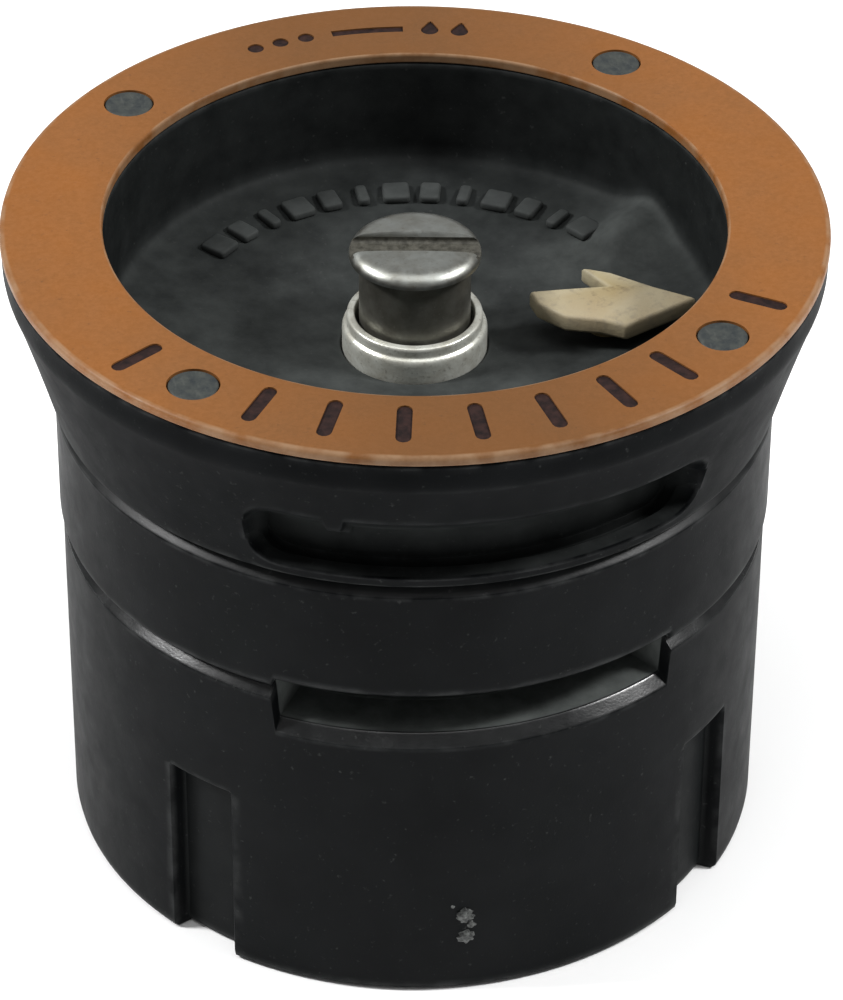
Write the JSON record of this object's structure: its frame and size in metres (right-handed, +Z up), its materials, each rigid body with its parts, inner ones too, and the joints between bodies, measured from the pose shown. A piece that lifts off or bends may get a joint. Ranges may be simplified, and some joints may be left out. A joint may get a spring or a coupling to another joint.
{
  "type": "pop-up sprinkler nozzle",
  "caption": "Fixed-arc spray nozzle for a pop-up sprinkler riser: threaded skirt, flared deflector cap with a colour ring, two arc slots and a slotted radius screw.",
  "frame": {"origin": "centre of the skirt's lower rim, on the nozzle's axis", "axes": "+Z up along the nozzle's axis; the middle of the spray arc faces -Y"},
  "size_m": [0.023, 0.023, 0.0197],
  "materials": {
    "black_plastic": "satin moulded",
    "ring_plastic": "satin, slightly mottled",
    "pin_plastic": "matt",
    "pointer_plastic": "satin",
    "seat_plastic": "natural, satin",
    "stainless": "turned and tumbled",
    "seal_rubber": "smooth"
  },
  "bodies": {
    "nozzle": {"threaded_base": "black_plastic", "throttle_seat": "seat_plastic", "nozzle_body": "black_plastic", "deflector_cap": "black_plastic", "colour_ring": "ring_plastic", "ring_pin_1": "pin_plastic", "ring_pin_2": "pin_plastic", "ring_pin_3": "pin_plastic", "ring_pin_4": "pin_plastic", "arc_pointer": "pointer_plastic", "screw_bush": "stainless"},
    "seal": {"screw_seal": "seal_rubber"},
    "screw": {"adjusting_screw": "stainless"}
  },
  "joints": [
    {"name": "screw_travel", "type": "slide", "parent": "nozzle", "child": "seal", "axis": [0, 0, 1], "range_m": [-0.0014, 0.0009]},
    {"name": "screw_turn", "type": "hinge", "parent": "seal", "child": "screw", "pos_m": [0, 0, 0.0148], "axis": [0, 0, 1], "range_deg": [-631, 406]}
  ],
  "couplings": [
    {"joint": "screw_turn", "follows": "screw_travel", "rad_per_m": 7854}
  ]
}
